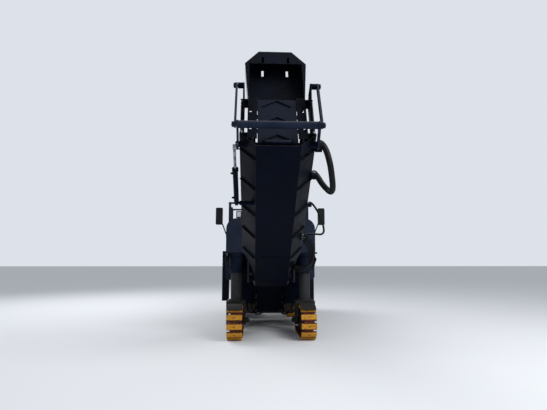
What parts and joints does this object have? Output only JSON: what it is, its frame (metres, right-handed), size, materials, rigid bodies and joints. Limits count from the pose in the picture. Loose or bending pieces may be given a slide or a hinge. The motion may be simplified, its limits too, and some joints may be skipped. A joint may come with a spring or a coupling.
{
  "type": "compact cold planer with folding front discharge conveyor",
  "caption": "Compact cold planer: milling drum between crawler tracks on lifting legs, platform, rear engine bay and a raised front discharge conveyor folded up.",
  "frame": {"origin": "on the ground under the middle of the machine's bounding box", "axes": "front towards -Y, the machine's left towards +X, up +Z"},
  "size_m": [2.05, 7.2004, 4.4911],
  "materials": {
    "frame_paint": "satin, dusty",
    "body_paint": "satin, weathered",
    "conveyor_paint": "satin, weathered",
    "grey_paint": "satin",
    "dark_paint": "matte",
    "worn_steel": "scraped by milled asphalt",
    "leg_steel": "ground",
    "crawler_steel": "dirty",
    "rod_chrome": "polished",
    "pad_plastic": "worn polyurethane on a steel chain",
    "belt_rubber": "matte",
    "hose_rubber": "matte",
    "seat_cover": "matte",
    "mirror_case": "matte"
  },
  "bodies": {
    "chassis": {"main_frame": "frame_paint", "deck_plate": "frame_paint", "lifting_eyes": "frame_paint", "leg_guides": "frame_paint", "front_tank": "body_paint", "side_tanks": "body_paint", "counterweight": "frame_paint", "drum_housing": "frame_paint", "primary_conveyor": "conveyor_paint", "engine_block": "dark_paint", "cooler": "dark_paint", "engine_bay": "body_paint", "rear_grille": "dark_paint", "platform": "dark_paint", "handrails": "grey_paint", "console": "dark_paint", "seats": "seat_cover", "access_steps": "dark_paint", "mirrors": "mirror_case", "work_lamps": "mirror_case"},
    "leg_fl": {"leg_fl": "leg_steel"},
    "leg_fr": {"leg_fr": "leg_steel"},
    "leg_rl": {"leg_rl": "leg_steel"},
    "leg_rr": {"leg_rr": "leg_steel"},
    "crawler_fl": {"bogie_fl": "crawler_steel", "track_fl": "pad_plastic"},
    "crawler_fr": {"bogie_fr": "crawler_steel", "track_fr": "pad_plastic"},
    "crawler_rl": {"bogie_rl": "crawler_steel", "track_rl": "pad_plastic"},
    "crawler_rr": {"bogie_rr": "crawler_steel", "track_rr": "pad_plastic"},
    "drum": {"milling_drum": "worn_steel"},
    "plate_left": {"side_plate_left": "worn_steel"},
    "plate_right": {"side_plate_right": "worn_steel"},
    "scraper": {"rear_scraper": "worn_steel"},
    "yoke": {"slew_yoke": "body_paint"},
    "lift_tube": {"lift_barrels": "conveyor_paint"},
    "lift_rod": {"lift_rods": "rod_chrome"},
    "inner_part": {"inner_hull": "conveyor_paint", "inner_belt": "belt_rubber", "inner_rollers": "grey_paint", "conveyor_hoses": "hose_rubber"},
    "outer_part": {"outer_frame": "conveyor_paint", "outer_hoses": "hose_rubber", "outer_belt": "belt_rubber", "outer_rollers": "grey_paint", "discharge_hood": "conveyor_paint"},
    "rocker": {"fold_rocker": "grey_paint"},
    "links": {"fold_links": "grey_paint"},
    "fold_tube": {"fold_barrel": "conveyor_paint"},
    "fold_rams": {"fold_rod": "rod_chrome"},
    "hood": {"engine_hood": "body_paint", "exhaust_pipe": "leg_steel"},
    "service_left": {"door_left": "body_paint"},
    "service_right": {"door_right": "body_paint"}
  },
  "joints": [
    {"name": "leg_fl_slide", "type": "slide", "parent": "chassis", "child": "leg_fl", "axis": [0, 0, 1], "range_m": [0, 0.25]},
    {"name": "leg_fr_slide", "type": "slide", "parent": "chassis", "child": "leg_fr", "axis": [0, 0, 1], "range_m": [0, 0.25]},
    {"name": "leg_rl_slide", "type": "slide", "parent": "chassis", "child": "leg_rl", "axis": [0, 0, 1], "range_m": [0, 0.25]},
    {"name": "leg_rr_slide", "type": "slide", "parent": "chassis", "child": "leg_rr", "axis": [0, 0, 1], "range_m": [0, 0.25]},
    {"name": "steer_fl", "type": "hinge", "parent": "leg_fl", "child": "crawler_fl", "pos_m": [0.625, -0.835, 0.6], "axis": [0, 0, 1], "range_deg": [-15, 15]},
    {"name": "steer_fr", "type": "hinge", "parent": "leg_fr", "child": "crawler_fr", "pos_m": [-0.625, -0.835, 0.6], "axis": [0, 0, 1], "range_deg": [-15, 15]},
    {"name": "steer_rl", "type": "hinge", "parent": "leg_rl", "child": "crawler_rl", "pos_m": [0.625, 2.165, 0.6], "axis": [0, 0, 1], "range_deg": [-15, 15]},
    {"name": "steer_rr", "type": "hinge", "parent": "leg_rr", "child": "crawler_rr", "pos_m": [-0.625, 2.165, 0.6], "axis": [0, 0, 1], "range_deg": [-15, 15]},
    {"name": "drum_spin", "type": "hinge", "parent": "chassis", "child": "drum", "pos_m": [0, 0.665, 0.74], "axis": [1, 0, 0], "continuous": true},
    {"name": "side_plate_left_slide", "type": "slide", "parent": "chassis", "child": "plate_left", "axis": [0, 0, 1], "range_m": [-0.1, 0.25]},
    {"name": "side_plate_right_slide", "type": "slide", "parent": "chassis", "child": "plate_right", "axis": [0, 0, 1], "range_m": [-0.1, 0.25]},
    {"name": "scraper_slide", "type": "slide", "parent": "chassis", "child": "scraper", "axis": [0, 0, 1], "range_m": [-0.1, 0.3]},
    {"name": "conveyor_slew", "type": "hinge", "parent": "chassis", "child": "yoke", "pos_m": [0, -0.88, 1.4], "axis": [0, 0, 1], "range_deg": [-25, 25]},
    {"name": "conveyor_lift", "type": "hinge", "parent": "yoke", "child": "inner_part", "pos_m": [0, -1.09, 1.03], "axis": [-1, 0, 0], "range_deg": [-14, 6]},
    {"name": "conveyor_fold", "type": "hinge", "parent": "inner_part", "child": "outer_part", "pos_m": [0, -3.4, 2.79], "axis": [1, 0, 0], "range_deg": [0, 78]},
    {"name": "rocker_turn", "type": "hinge", "parent": "inner_part", "child": "rocker", "pos_m": [0, -3.378, 2.806], "axis": [1, 0, 0], "range_deg": [0, 70.7]},
    {"name": "link_turn", "type": "hinge", "parent": "outer_part", "child": "links", "pos_m": [0, -3.21709, 3.66966], "axis": [1, 0, 0], "range_deg": [0, 2.7]},
    {"name": "fold_tube_turn", "type": "hinge", "parent": "inner_part", "child": "fold_tube", "pos_m": [0, -2.692, 2.144], "axis": [-1, 0, 0], "range_deg": [0, 1.47]},
    {"name": "fold_rod_slide", "type": "slide", "parent": "fold_tube", "child": "fold_rams", "axis": [0, 0.8012, -0.5984], "range_m": [0, 0.1439]},
    {"name": "lift_tube_turn", "type": "hinge", "parent": "yoke", "child": "lift_tube", "pos_m": [0, -1.05, 1.33], "axis": [-1, 0, 0], "range_deg": [-15.5, 6.7]},
    {"name": "lift_rod_slide", "type": "slide", "parent": "lift_tube", "child": "lift_rod", "axis": [0, 0.8401, -0.5424], "range_m": [-0.0699, 0.0305]},
    {"name": "hood_hinge", "type": "hinge", "parent": "chassis", "child": "hood", "pos_m": [0, 3.316, 2.052], "axis": [-1, 0, 0], "range_deg": [0, 50]},
    {"name": "door_left_hinge", "type": "hinge", "parent": "chassis", "child": "service_left", "pos_m": [0.88, 1.572, 1.7], "axis": [0, 0, -1], "range_deg": [0, 100]},
    {"name": "door_right_hinge", "type": "hinge", "parent": "chassis", "child": "service_right", "pos_m": [-0.88, 1.572, 1.7], "axis": [0, 0, 1], "range_deg": [0, 100]}
  ],
  "couplings": [
    {"joint": "steer_fr", "follows": "steer_fl", "ratio": 1},
    {"joint": "steer_rr", "follows": "steer_rl", "ratio": 1},
    {"joint": "rocker_turn", "follows": "conveyor_fold", "ratio": 0.9057},
    {"joint": "link_turn", "follows": "conveyor_fold", "ratio": 0.0333},
    {"joint": "fold_tube_turn", "follows": "conveyor_fold", "ratio": 0.0175},
    {"joint": "fold_rod_slide", "follows": "conveyor_fold", "m_per_rad": 0.105},
    {"joint": "lift_tube_turn", "follows": "conveyor_lift", "ratio": 1.1},
    {"joint": "lift_rod_slide", "follows": "conveyor_lift", "m_per_rad": 0.282}
  ]
}
